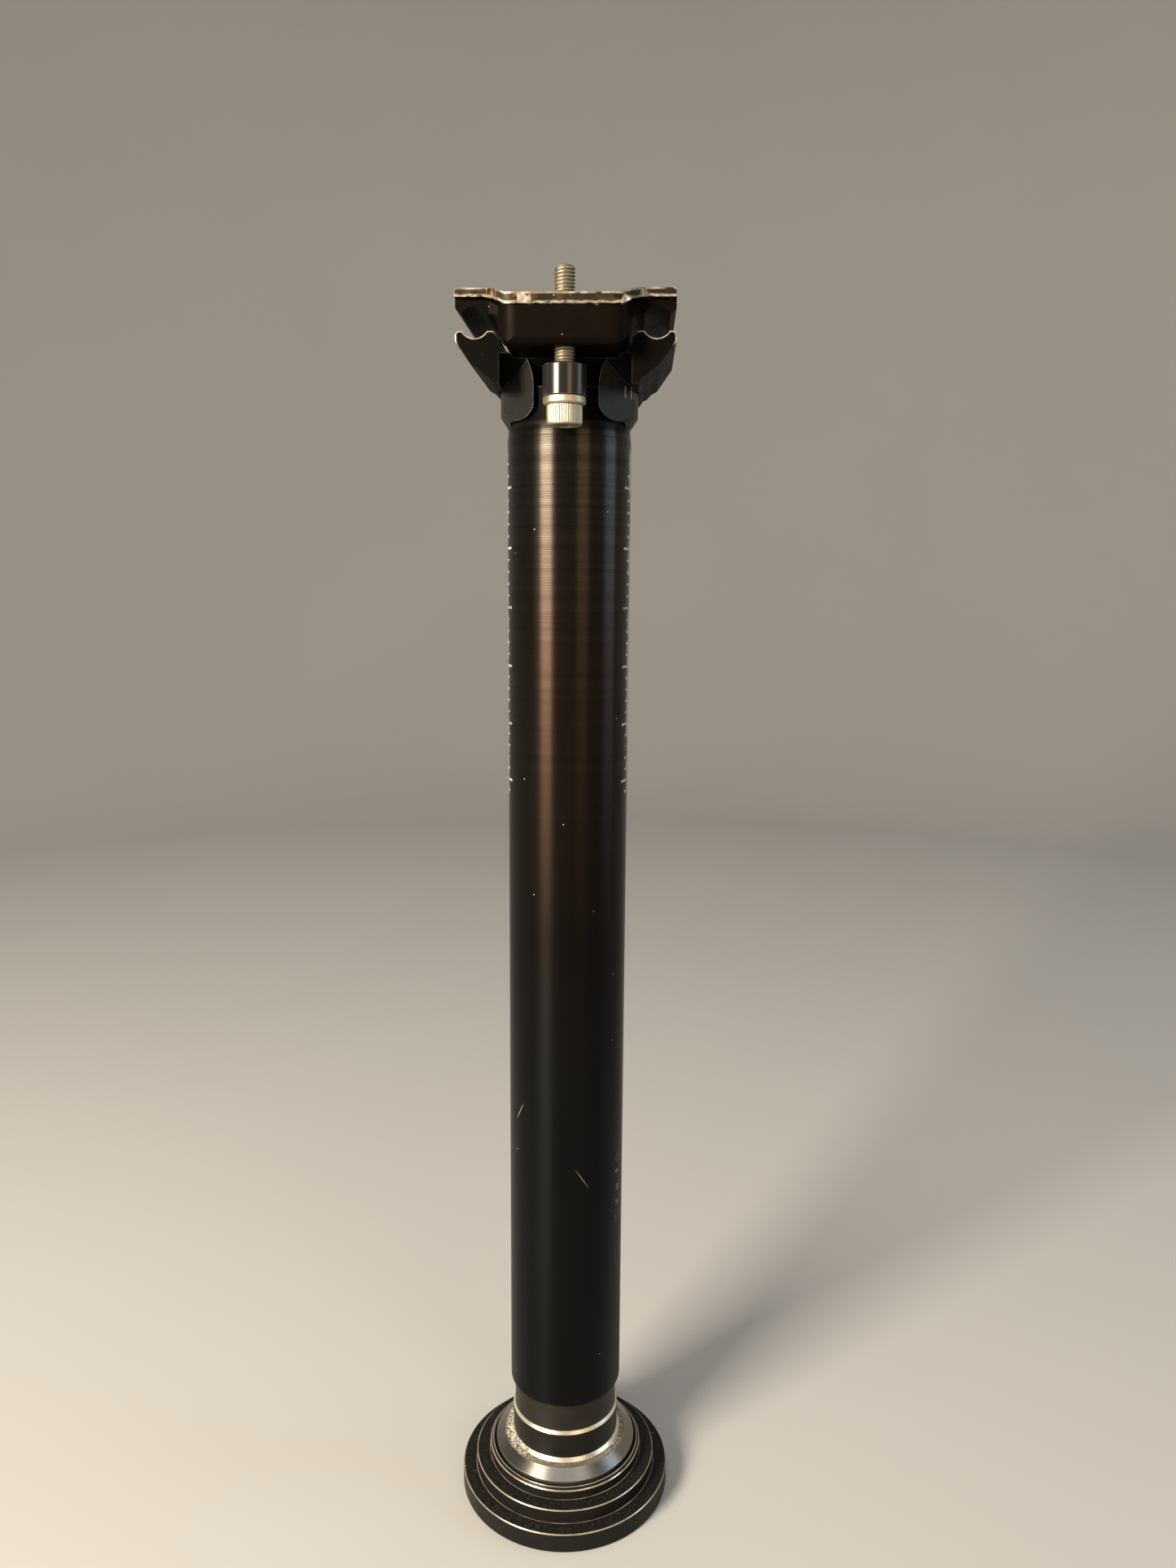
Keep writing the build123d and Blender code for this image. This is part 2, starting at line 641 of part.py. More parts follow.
def upper_clamp():
    body = along_y(upper_front_view(), UPPER_HALF_LENGTH) & upper_side_view() & upper_plan()
    body += upper_plate()
    body -= both_ends(nut_seat())
    body -= both_ends(horn_notches())
    return body - top_pocket() - rail_grooves()


# ------------------------------------------------------------------ assembly
def sub_parts():
    """Every sub-part in its place, by node name."""
    front_bolt = Pos(0, -BOLT_Y, 0) * clamp_bolt()
    front_washer = Pos(0, -BOLT_Y, 0) * clamp_washer()
    front_nut = Pos(0, -BOLT_Y, 0) * barrel_nut()
    return {
        "foot_disc_large": foot_disc_large(),
        "foot_disc_medium": foot_disc_medium(),
        "foot_disc_small": foot_disc_small(),
        "foot_cone_ring": foot_cone_ring(),
        "foot_lower_ring": foot_band(RING_SEAT_Z, SLEEVE_Z, LOWER_RING_R, SLEEVE_R),
        "foot_sleeve": foot_band(SLEEVE_Z, UPPER_RING_Z, SLEEVE_R, SLEEVE_R),
        "foot_upper_ring": foot_band(UPPER_RING_Z, STEM_Z, SLEEVE_R, UPPER_RING_TOP_R),
        "foot_stem": foot_stem(),
        "foot_washer": foot_washer(),
        "foot_screw": foot_screw(),
        "post_body": post_body(),
        "front_washer": front_washer,
        "rear_washer": mirror(front_washer, Plane.XZ),
        "front_bolt": front_bolt,
        "rear_bolt": Rot(0, 0, 180) * front_bolt,
        "lower_clamp": lower_clamp(),
        "upper_clamp": upper_clamp(),
        "front_barrel_nut": front_nut,
        "rear_barrel_nut": mirror(front_nut, Plane.XZ),
    }


os.makedirs("parts", exist_ok=True)
for node, shape in sub_parts().items():
    export_step(shape, "parts/" + node + ".step")
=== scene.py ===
import math

import bmesh
import bpy
from mathutils import Euler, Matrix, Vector


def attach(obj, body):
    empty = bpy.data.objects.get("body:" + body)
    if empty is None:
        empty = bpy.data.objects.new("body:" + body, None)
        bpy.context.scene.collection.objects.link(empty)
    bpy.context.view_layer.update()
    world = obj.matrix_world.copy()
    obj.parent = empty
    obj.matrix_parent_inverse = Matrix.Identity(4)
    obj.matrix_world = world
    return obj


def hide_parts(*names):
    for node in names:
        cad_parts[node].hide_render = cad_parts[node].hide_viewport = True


# Looks for the seatpost on its foot: a finish for every CAD node, two clamp bolts with helical
# threads and knurled heads, a plain studio and the camera. Metres, in the CAD frame: Z is up,
# X runs across the bicycle and -Y is the front bolt's side. Radii are from the Z axis.

MM = 0.001

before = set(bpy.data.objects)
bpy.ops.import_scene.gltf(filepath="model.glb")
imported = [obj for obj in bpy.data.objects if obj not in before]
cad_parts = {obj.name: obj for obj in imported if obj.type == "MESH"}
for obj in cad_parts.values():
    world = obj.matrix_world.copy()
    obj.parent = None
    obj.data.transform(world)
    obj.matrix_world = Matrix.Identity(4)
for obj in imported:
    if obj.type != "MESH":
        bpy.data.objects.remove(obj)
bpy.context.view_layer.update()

# Places on the head and the clamps that the finishes depend on
HEAD_LOW = 299.0 * MM
HEAD_HIGH = 301.0 * MM
BOSS_Y = 15.5 * MM
BOSS_X = 5.6 * MM
RELIEF_Z = 297.2 * MM
NECK_TOP_Z = 299.8 * MM
PLATE_LOW_MIDDLE = 324.55 * MM
PLATE_LOW_EAR = 327.7 * MM
PLATE_TOP_MIDDLE = 327.15 * MM
PLATE_TOP_EAR = 329.8 * MM
RAMP_IN = 13.5 * MM
RAMP_OUT = 18.5 * MM
TURNING_PITCH = 0.42 * MM

# Clamp bolts
BOLT_Y = 21.0 * MM
HEAD_R = 4.3 * MM
HEAD_LOW_Z = 298.3 * MM
HEAD_TOP_Z = 303.1 * MM
SOCKET_HALF = 2.0 * MM
SOCKET_DEPTH = 2.6 * MM
SOCKET_TIP_R = 0.4 * MM
SOCKET_TIP_H = 0.5 * MM
SOCKET_MOUTH_R = 2.48 * MM
HEAD_ROUNDING = 0.55 * MM
FLUTES = 48
FLUTE_DEPTH = 0.17 * MM
THREAD_R = 2.45 * MM
THREAD_ROOT_R = 2.05 * MM
THREAD_PITCH = 0.8 * MM
THREAD_START_Z = 304.6 * MM
CREST_FLAT = 0.2
FLANK_SHARE = 0.65
TIP_Z = 334.2 * MM
TIP_CHAMFER = 0.5 * MM
ROWS_PER_TURN = 12
HEAD_SEGMENTS = 4 * FLUTES
SHANK_SEGMENTS = HEAD_SEGMENTS // 4


# ------------------------------------------------------------------ shader expressions
class Finish:
    """A procedural material, written as expressions over the object's own coordinates."""

    def __init__(self, name):
        self.material = bpy.data.materials.new(name)
        self.material.use_nodes = True
        self.tree = self.material.node_tree
        self.tree.nodes.clear()
        self.place = self.node("TexCoord").outputs["Object"]
        axes = self.node("SeparateXYZ", Vector=self.place).outputs
        self.x = axes["X"]
        self.y = axes["Y"]
        self.z = axes["Z"]

    def feed(self, socket, value):
        if isinstance(value, bpy.types.NodeSocket):
            self.tree.links.new(value, socket)
        elif socket.type == "RGBA":
            socket.default_value = (*value, 1.0)
        else:
            socket.default_value = value

    def node(self, kind, settings=None, **inputs):
        """A shader node; an input's name is written with _ for each space."""
        made = self.tree.nodes.new("ShaderNode" + kind)
        for key, value in (settings or {}).items():
            setattr(made, key, value)
        for key, value in inputs.items():
            self.feed(made.inputs[key.replace("_", " ")], value)
        return made

    def math(self, operation, *values):
        made = self.node("Math", {"operation": operation})
        for socket, value in zip(made.inputs, values):
            self.feed(socket, value)
        return made.outputs["Value"]

    def product(self, *values):
        total = values[0]
        for value in values[1:]:
            total = self.math("MULTIPLY", total, value)
        return total

    def most(self, *values):
        total = values[0]
        for value in values[1:]:
            total = self.math("MAXIMUM", total, value)
        return total

    def inverse(self, value):
        return self.math("SUBTRACT", 1.0, value)

    def ramp(self, value, start, end, low=0.0, high=1.0, kind="SMOOTHSTEP"):
        """Goes from low to high as value goes from start to end, smoothly unless kind is LINEAR."""
        made = self.node("MapRange", {"interpolation_type": kind}, Value=value)
        limits = {"From Min": start, "From Max": end, "To Min": low, "To Max": high}
        for key, number in limits.items():
            self.feed(made.inputs[key], number)
        return made.outputs["Result"]

    def between(self, value, low, high, soft=0.1 * MM):
        """1 where value lies between low and high, with soft ends."""
        rise = self.ramp(value, low - soft, low + soft)
        fall = self.ramp(value, high + soft, high - soft)
        return self.product(rise, fall)

    def mix(self, amount, first, second):
        """Colours: first where amount is 0, second where it is 1."""
        made = self.node("Mix", {"data_type": "RGBA"})
        for index, value in ((0, amount), (6, first), (7, second)):
            self.feed(made.inputs[index], value)
        return made.outputs[2]

    def blend(self, amount, first, second):
        """Numbers: first where amount is 0, second where it is 1."""
        made = self.node("Mix", {"data_type": "FLOAT"})
        for index, value in ((0, amount), (2, first), (3, second)):
            self.feed(made.inputs[index], value)
        return made.outputs[0]

    def scaled(self, size, stretch):
        """Coordinates in which a feature of this size, stretched along each axis, is about 1."""
        factors = tuple(1.0 / (size * s) for s in stretch)
        made = self.node("VectorMath", {"operation": "MULTIPLY"})
        self.feed(made.inputs[0], self.place)
        self.feed(made.inputs[1], factors)
        return made.outputs["Vector"]

    def noise(self, size, stretch=(1, 1, 1), detail=3.0):
        made = self.node("TexNoise", Vector=self.scaled(size, stretch), Scale=1.0, Detail=detail)
        return made.outputs["Fac"]

    def patches(self, size, start, end, low=0.0, high=1.0, stretch=(1, 1, 1), detail=3.0):
        """Noise sharpened into patches: low where it is under start, high where it is over end."""
        return self.ramp(self.noise(size, stretch, detail), start, end, low, high)

    def noise_along(self, value, size, detail=2.0):
        """Noise that changes only along one value."""
        steps = self.math("DIVIDE", value, size)
        made = self.node("TexNoise", {"noise_dimensions": "1D"}, W=steps, Scale=1.0, Detail=detail)
        return made.outputs["Fac"]

    def fraction(self, value, period):
        """How far value is through its present period, from 0 to 1."""
        return self.math("FRACT", self.math("DIVIDE", value, period))

    def lines(self, value, period):
        """Even lines across a value, from 0 to 1."""
        turns = self.math("MULTIPLY", value, 2.0 * math.pi / period)
        return self.ramp(self.math("SINE", turns), -1.0, 1.0)

    def radius(self):
        """Distance from the Z axis."""
        square = self.math("ADD", self.product(self.x, self.x), self.product(self.y, self.y))
        return self.math("SQRT", square)

    def normal(self):
        return self.node("NewGeometry").outputs["Normal"]

    def facing(self, axis):
        """How squarely the surface faces along an axis, either way: 1 for square on."""
        made = self.node("VectorMath", {"operation": "DOT_PRODUCT"})
        self.feed(made.inputs[0], self.normal())
        self.feed(made.inputs[1], axis)
        return self.math("ABSOLUTE", made.outputs["Value"])

    def edges(self, width, strength=1.0):
        """1 on sharp outer edges and 0 on open faces, broken up by noise as real wear is."""
        rounded = self.node("Bevel", {"samples": 6}, Radius=width).outputs["Normal"]
        made = self.node("VectorMath", {"operation": "DOT_PRODUCT"})
        self.feed(made.inputs[0], rounded)
        self.feed(made.inputs[1], self.normal())
        bent = self.ramp(made.outputs["Value"], 0.985, 0.88)
        settings = {"samples": 4, "only_local": True}
        open_air = self.node("AmbientOcclusion", settings, Distance=3 * width)
        outer = self.ramp(open_air.outputs["AO"], 0.55, 0.85)
        broken = self.ramp(self.noise(1.6 * MM, detail=5.0), 0.62 - 0.35 * strength, 0.62)
        return self.product(bent, outer, broken)

    def specks(self, cell, size, share):
        """Dots of dust: a share of the cells holds one dot each."""
        grid = self.scaled(cell, (1, 1, 1))
        made = self.node("TexVoronoi", Vector=grid, Scale=1.0, Randomness=1.0)
        dot = self.ramp(made.outputs["Distance"], size, 0.6 * size)
        pick = self.node("SeparateColor", Color=made.outputs["Color"]).outputs["Red"]
        chosen = self.ramp(pick, 1.0 - share, 1.0 - 0.9 * share)
        return self.product(dot, chosen)

    def scratches(self, cell, width, share):
        """Fine broken scratches along the borders of large irregular cells."""
        bend = self.node("TexVoronoi", {"feature": "DISTANCE_TO_EDGE"}, Scale=1.0)
        self.feed(bend.inputs["Vector"], self.scaled(cell, (1, 1, 1.7)))
        line = self.ramp(bend.outputs["Distance"], width / cell, 0.4 * width / cell)
        short = self.ramp(self.noise(0.6 * cell, detail=1.0), 1.0 - share, 1.08 - share)
        return self.product(line, short)

    def bumps(self, height, depth, width=0.12 * MM):
        """The shading normal: edges rounded by width, then the height pattern on top."""
        rounded = self.node("Bevel", {"samples": 4}, Radius=width).outputs["Normal"]
        made = self.node("Bump", Height=height, Distance=depth, Strength=1.0, Normal=rounded)
        return made.outputs["Normal"]

    def surface(self, colour, roughness, **more):
        shader = self.node("BsdfPrincipled", Base_Color=colour, Roughness=roughness, **more)
        output = self.node("OutputMaterial")
        self.tree.links.new(shader.outputs["BSDF"], output.inputs["Surface"])
        return self.material


def around_z(finish):
    """The direction of turning marks round the Z axis."""
    return finish.node("Tangent", {"direction_type": "RADIAL", "axis": "Z"}).outputs["Tangent"]


UP = (0, 0, 1)

# A highlight on turned metal spreads across the turning marks, a quarter turn from the tangent
ACROSS = 0.25


# ------------------------------------------------------------------ finishes
BARE_ALUMINIUM = (0.62, 0.58, 0.52)
BRONZE_WEAR = (0.42, 0.31, 0.19)
DUST = (0.55, 0.5, 0.42)
PRINT_WHITE = (0.5, 0.49, 0.46)

# Printed and etched marks: from tick to tick, and where the marks lie along Y and Z
SIDE_STEP = 3.0 * MM
SIDE_TICK_SHARE = 0.22
SIDE_SHORT_Y = (-4.4 * MM, -2.4 * MM)
SIDE_LONG_Y = (-6.6 * MM, -2.4 * MM)
SIDE_RAIL_Y = (-3.0 * MM, -2.1 * MM)
SIDE_REACH_Z = (206.0 * MM, 294.0 * MM)
LOW_STEP = 4.5 * MM
LOW_Y = (-7.2 * MM, -5.2 * MM)
LOW_REACH_Z = (84.0 * MM, 108.0 * MM)
RIM_STEP = 1.5 * MM
RIM_REACH_Y = (-9.6 * MM, -2.0 * MM)
RIM_REACH_Z = (306.6 * MM, 309.4 * MM)


def right_side(f):
    """1 on the right half of the post and 0 on the left."""
    return f.ramp(f.x, 0.0, 1.0 * MM)


def side_scale(f):
    """Generic graduation ticks printed down both sides of the tube, longer every fifth."""
    thick = SIDE_TICK_SHARE
    tick = f.ramp(f.fraction(f.z, SIDE_STEP), thick, 0.8 * thick)
    fifth = f.ramp(f.fraction(f.z, 5 * SIDE_STEP), thick / 5, 0.8 * thick / 5)
    short = f.product(tick, f.between(f.y, *SIDE_SHORT_Y))
    long = f.product(fifth, f.between(f.y, *SIDE_LONG_Y))
    rail = f.product(f.between(f.y, *SIDE_RAIL_Y, 0.05 * MM), f.patches(7.0 * MM, 0.42, 0.52))
    worn = f.patches(2.2 * MM, 0.3, 0.5)
    reach = f.between(f.z, *SIDE_REACH_Z)
    return f.product(f.most(short, long, rail), reach, worn)


def low_marks(f):
    """Faint worn marks low on the right side of the tube."""
    tick = f.ramp(f.fraction(f.z, LOW_STEP), 0.45, 0.4)
    column = f.between(f.y, *LOW_Y)
    reach = f.between(f.z, *LOW_REACH_Z)
    return f.product(tick, column, right_side(f), reach, f.patches(1.3 * MM, 0.45, 0.6))


def rim_scale(f):
    """Small etched ticks on the right of the head."""
    tick = f.ramp(f.fraction(f.y, RIM_STEP), 0.24, 0.16)
    reach = f.between(f.y, *RIM_REACH_Y)
    height = f.between(f.z, *RIM_REACH_Z)
    return f.product(tick, reach, height, right_side(f), f.patches(1.5 * MM, 0.35, 0.5))


# The post: a painted highlight on the tube, its shine growing up the tube and its colour going from
# cool through copper to pale
RECESS_PAINTED_DARK_R = (15.95 * MM, 15.6 * MM)
PAINTED_SHINE_RISE_Z = (170.0 * MM, 294.0 * MM)
PAINTED_COPPER_FROM_Z = (120.0 * MM, 200.0 * MM)
PAINTED_PALE_FROM_Z = (235.0 * MM, 292.0 * MM)
PAINTED_COOL_HIGHLIGHT = (0.75, 0.88, 1.0)
PAINTED_COPPER_HIGHLIGHT = (1.0, 0.64, 0.45)
PAINTED_PALE_HIGHLIGHT = (1.0, 0.82, 0.68)
HEAD_SHEEN = (1.0, 0.97, 0.92)


def post_finish():
    """Black anodised tube with turning marks at the top, and a satin machined head."""
    f = Finish("post_black_anodised")
    head = f.ramp(f.z, HEAD_LOW, HEAD_HIGH)
    boss = f.product(head, f.ramp(f.y, -BOSS_Y + 1 * MM, -BOSS_Y), f.between(f.x, -BOSS_X, BOSS_X))
    # Painted shade in the recess under the head: it takes the tube's black and a tenth of the head's
    # shine
    recess_painted_dark = f.product(head, f.ramp(f.radius(), *RECESS_PAINTED_DARK_R))
    # Painted highlight: how far up the tube the shine rises; the turning marks show only where it
    # does
    upper = f.ramp(f.z, *PAINTED_SHINE_RISE_Z, kind="LINEAR")
    turned = f.product(f.lines(f.z, TURNING_PITCH), upper, f.inverse(head))
    wander = f.noise_along(f.z, 2.4 * MM, detail=4.0)
    streaks = f.noise(0.7 * MM, (1, 1, 60))
    cloud = f.noise(14.0 * MM, (1, 1, 3), detail=4.0)

    tube = f.mix(cloud, (0.0012, 0.001, 0.0009), (0.0028, 0.0023, 0.002))
    satin = f.mix(streaks, (0.006, 0.0058, 0.0052), (0.019, 0.018, 0.016))
    # Satin on the head, except the recess, which is painted dark as shade
    colour = f.mix(f.product(head, f.inverse(recess_painted_dark)), tube, satin)
    colour = f.mix(f.product(f.specks(2.6 * MM, 0.07, 0.1), 0.8), colour, DUST)
    colour = f.mix(f.product(f.scratches(34.0 * MM, 0.12 * MM, 0.34), 0.4), colour, DUST)
    printed = f.most(side_scale(f), f.product(low_marks(f), 0.35), f.product(rim_scale(f), 0.5))
    colour = f.mix(f.product(printed, 0.8), colour, PRINT_WHITE)
    worn = f.product(f.edges(0.2 * MM), head, 0.35)
    colour = f.mix(worn, colour, BARE_ALUMINIUM)

    uneven = f.blend(upper, 1.0, f.ramp(wander, 0.25, 0.75, 0.7, 1.2))
    # Painted highlight: the specular level grows from 0.08 low on the tube to 0.4 near the top
    painted_shine = f.product(f.blend(upper, 0.08, 0.4), f.blend(turned, 1.15, 0.6), uneven)
    # Painted shade: the shine falls to 0.12 on the neck just under the head
    painted_shine = f.product(painted_shine, f.ramp(f.z, NECK_TOP_Z, RELIEF_Z, 0.12, 1.0))
    # Painted shade: the recess keeps only a tenth of the shine
    milled = f.product(f.blend(boss, 0.15, 0.3), f.blend(recess_painted_dark, 1.0, 0.1))
    rough = f.blend(head, f.blend(cloud, 0.29, 0.33), 0.44)
    rough = f.blend(boss, rough, 0.2)
    # Painted highlight colour by height: cool low, copper in the middle, pale near the top; the head
    # keeps its own tint
    tint_painted_on_tube = f.mix(f.ramp(f.z, *PAINTED_COPPER_FROM_Z), PAINTED_COOL_HIGHLIGHT, PAINTED_COPPER_HIGHLIGHT)
    tint_painted_on_tube = f.mix(f.ramp(f.z, *PAINTED_PALE_FROM_Z), tint_painted_on_tube, PAINTED_PALE_HIGHLIGHT)
    tint_painted_on_tube = f.mix(head, tint_painted_on_tube, HEAD_SHEEN)
    height = f.math("ADD", f.product(turned, 0.6), f.product(streaks, 0.4))
    return f.surface(
        colour, rough,
        Metallic=f.product(worn, 0.9),
        Specular_IOR_Level=f.blend(head, painted_shine, milled),
        Specular_Tint=tint_painted_on_tube,
        Anisotropic=f.blend(head, 0.89, 0.4),
        Anisotropic_Rotation=ACROSS,
        Tangent=around_z(f),
        Normal=f.bumps(height, 0.008 * MM),
    )


def machined_black(f, brown):
    """Colour of the clamps' black anodising: patches from near black to a brown cast, with a faint
    lighter grain.
    """
    patch = f.noise(6.0 * MM, detail=5.0)
    grain = f.noise(0.3 * MM, (4, 4, 1), detail=2.0)
    dark = f.mix(patch, (0.0012, 0.0011, 0.001), brown)
    return f.mix(f.product(grain, 0.2), dark, (0.006, 0.005, 0.0042))


def plate_wear(f):
    """How much each spot of the plate's rim shows bare metal, where the rim is, and the plate."""
    side = f.math("ABSOLUTE", f.x)
    low = f.ramp(side, RAMP_IN, RAMP_OUT, PLATE_LOW_MIDDLE, PLATE_LOW_EAR, "LINEAR")
    top = f.ramp(side, RAMP_IN, RAMP_OUT, PLATE_TOP_MIDDLE, PLATE_TOP_EAR, "LINEAR")
    ragged = f.math("ADD", low, f.product(f.noise(1.7 * MM, detail=4.0), 1.0 * MM))
    above = f.math("SUBTRACT", f.z, ragged)
    below = f.math("SUBTRACT", top, f.z)
    upright = f.ramp(f.facing(UP), 0.75, 0.55)
    plate = f.ramp(above, -0.6 * MM, -0.3 * MM)
    rim = f.product(plate, upright)
    low_edge = f.between(above, -0.5 * MM, 0.1 * MM, 0.15 * MM)
    lower_line = f.product(low_edge, f.patches(2.6 * MM, 0.3, 0.5))
    upper_line = f.product(f.ramp(below, 0.6 * MM, 0.25 * MM), f.patches(3.3 * MM, 0.36, 0.52))
    spots = f.product(f.patches(4.6 * MM, 0.56, 0.66, stretch=(1, 1, 2), detail=4.0), 0.85)
    lines = f.most(f.product(lower_line, 0.42), f.product(upper_line, 0.5))
    return f.product(f.most(lines, spots), rim), rim, plate


def upper_clamp_finish():
    f = Finish("upper_clamp_black_anodised")
    base = machined_black(f, (0.0042, 0.0018, 0.0012))
    bare, rim, plate = plate_wear(f)
    worn = f.product(f.edges(0.34 * MM, 1.1), plate, 0.8)
    bare = f.most(bare, worn)
    mottle = f.patches(2.4 * MM, 0.4, 0.7, detail=5.0)
    mottled = f.mix(mottle, (0.006, 0.0042, 0.003), (0.036, 0.024, 0.014))
    metal = f.mix(f.patches(2.2 * MM, 0.4, 0.62), BRONZE_WEAR, (0.72, 0.68, 0.6))
    colour = f.mix(rim, base, mottled)
    colour = f.mix(bare, colour, metal)
    colour = f.mix(f.product(f.specks(2.0 * MM, 0.075, 0.16), 0.8), colour, DUST)
    milled = f.product(f.noise(0.5 * MM, (5, 1, 1)), 0.3)
    height = f.math("ADD", milled, f.noise(1.8 * MM, detail=4.0))
    return f.surface(
        colour,
        f.blend(bare, f.patches(4.0 * MM, 0.3, 0.7, 0.42, 0.5), 0.3),
        Metallic=f.product(bare, 0.9),
        Specular_IOR_Level=f.blend(rim, 0.03, 0.18),
        Specular_Tint=(1.0, 0.86, 0.7),
        Normal=f.bumps(height, 0.008 * MM, 0.3 * MM),
    )


# Where the worn lips of the rail grooves begin
RAIL_LIP_X = (16.5 * MM, 18.0 * MM)
RAIL_LIP_Z = (317.0 * MM, 318.2 * MM)


def lower_clamp_finish():
    f = Finish("lower_clamp_black_anodised")
    base = machined_black(f, (0.003, 0.0026, 0.0023))
    lip_side = f.ramp(f.math("ABSOLUTE", f.x), *RAIL_LIP_X)
    lip = f.product(lip_side, f.ramp(f.z, *RAIL_LIP_Z))
    worn = f.product(f.edges(0.7 * MM, 1.8), f.blend(lip, 0.02, 1.0))
    wear_colour = f.mix(f.patches(1.5 * MM, 0.35, 0.6), (0.62, 0.49, 0.32), (0.9, 0.82, 0.68))
    colour = f.mix(worn, base, wear_colour)
    colour = f.mix(f.product(f.specks(2.2 * MM, 0.07, 0.12), 0.7), colour, DUST)
    milled = f.product(f.noise(0.4 * MM, (1, 1, 5)), 0.4)
    height = f.math("ADD", milled, f.noise(2.4 * MM, detail=4.0))
    return f.surface(
        colour,
        f.blend(worn, f.patches(5.0 * MM, 0.3, 0.7, 0.42, 0.5), 0.3),
        Metallic=f.product(worn, 0.85),
        Specular_IOR_Level=0.02,
        Specular_Tint=(1.0, 0.93, 0.84),
        Normal=f.bumps(height, 0.006 * MM, 0.25 * MM),
    )


def plated_colour(f):
    """Nickel that has yellowed, with brown patches."""
    cloud = f.noise(2.6 * MM, detail=4.0)
    colour = f.mix(cloud, (0.36, 0.325, 0.24), (0.56, 0.51, 0.395))
    stain = f.patches(1.7 * MM, 0.6, 0.75, detail=5.0)
    return f.mix(f.product(stain, 0.4), colour, (0.3, 0.21, 0.11))


def plated_finish():
    """Washers, barrel nuts and the foot's own screw."""
    f = Finish("plated_steel_yellowed")
    colour = f.mix(f.product(f.edges(0.2 * MM), 0.4), plated_colour(f), (0.75, 0.7, 0.6))
    turning = f.product(f.noise_along(f.z, 0.15 * MM), 0.6)
    height = f.math("ADD", f.noise(0.3 * MM), turning)
    return f.surface(
        colour,
        f.patches(1.8 * MM, 0.3, 0.7, 0.4, 0.52),
        Metallic=1.0,
        Normal=f.bumps(height, 0.02 * MM, 0.2 * MM),
    )


def bolt_finish():
    """As the washers, with old grease in the knurl and in the bottom of the thread."""
    f = Finish("bolt_plated_steel")
    out = f.radius()
    head = f.ramp(f.z, HEAD_TOP_Z, HEAD_TOP_Z - 0.1 * MM)
    in_flute = f.ramp(out, HEAD_R - 0.05 * MM, HEAD_R - FLUTE_DEPTH)
    side = f.ramp(f.facing(UP), 0.75, 0.45)
    in_thread = f.ramp(out, THREAD_R - 0.05 * MM, THREAD_ROOT_R + 0.03 * MM)
    groove = f.blend(head, in_thread, f.product(in_flute, side))
    socket = f.product(head, f.ramp(out, SOCKET_HALF * 1.3, SOCKET_HALF * 1.15))
    grease = f.product(f.most(groove, socket), f.patches(1.2 * MM, 0.2, 0.55, 0.4, 0.85))
    colour = f.mix(grease, plated_colour(f), (0.09, 0.062, 0.032))
    return f.surface(
        colour,
        f.blend(grease, f.patches(1.8 * MM, 0.3, 0.7, 0.4, 0.54), 0.65),
        Metallic=f.blend(grease, 1.0, 0.5),
        Normal=f.bumps(f.noise(0.25 * MM), 0.02 * MM, 0.06 * MM),
    )


# The foot: where each layer of dirt, crust, wear or darker tone begins and ends, as heights or as
# radii
RING_CRUST_Z = (19.0 * MM, 16.6 * MM)
CONE_STAIN_R = (17.62 * MM, 17.45 * MM)
CONE_CRUST_R = (18.0 * MM, 16.6 * MM)
CONE_DARK_SIDE_Z = (13.8 * MM, 13.4 * MM)
STEM_DARKER_TOP_Z = (31.5 * MM, 33.0 * MM)
SLEEVE_CRUST_Z = (18.2 * MM, 17.2 * MM)
DISC_UNDERSIDE_Z = (0.8 * MM, 1.6 * MM)
SMALL_DISC_Z = (11.0 * MM, 12.0 * MM)

# The discs' bright lines: the radius of each edge, and a seam just outside each upper disc
LARGE_DISC_R = 30.0 * MM
MEDIUM_DISC_R = 26.0 * MM
SMALL_DISC_R = 22.0 * MM
SMALL_LIP_R = 21.3 * MM
SEAM_OUT = 0.3 * MM
LINE_WIDTH = 0.2 * MM
LINE_SOFT = 0.06 * MM


def crusted_sides(f):
    """The crust is thick at the sides, most of all on the left, and thin in front."""
    side = f.ramp(f.math("ABSOLUTE", f.x), 7.0 * MM, 15.0 * MM, 0.15, 1.0)
    return f.product(side, f.ramp(f.x, 15.0 * MM, -8.0 * MM, 0.45, 1.0))


def foot_ring_finish():
    """The bright bevelled rings, with a pale crust round the joint under the lower one."""
    f = Finish("foot_ring_bright")
    cloud = f.noise(3.0 * MM, detail=4.0)
    colour = f.mix(cloud, (0.72, 0.64, 0.5), (0.95, 0.89, 0.76))
    low = f.ramp(f.z, *RING_CRUST_Z)
    crust = f.product(f.patches(0.7 * MM, 0.46, 0.7, detail=5.0), low, crusted_sides(f))
    colour = f.mix(crust, colour, (0.75, 0.68, 0.54))
    height = f.math("ADD", f.product(crust, 2.0), f.noise_along(f.z, 0.12 * MM))
    return f.surface(
        colour,
        f.blend(crust, f.blend(cloud, 0.22, 0.36), 0.8),
        Metallic=f.blend(crust, 0.9, 0.0),
        Anisotropic=0.5,
        Anisotropic_Rotation=ACROSS,
        Tangent=around_z(f),
        Normal=f.bumps(height, 0.03 * MM),
    )


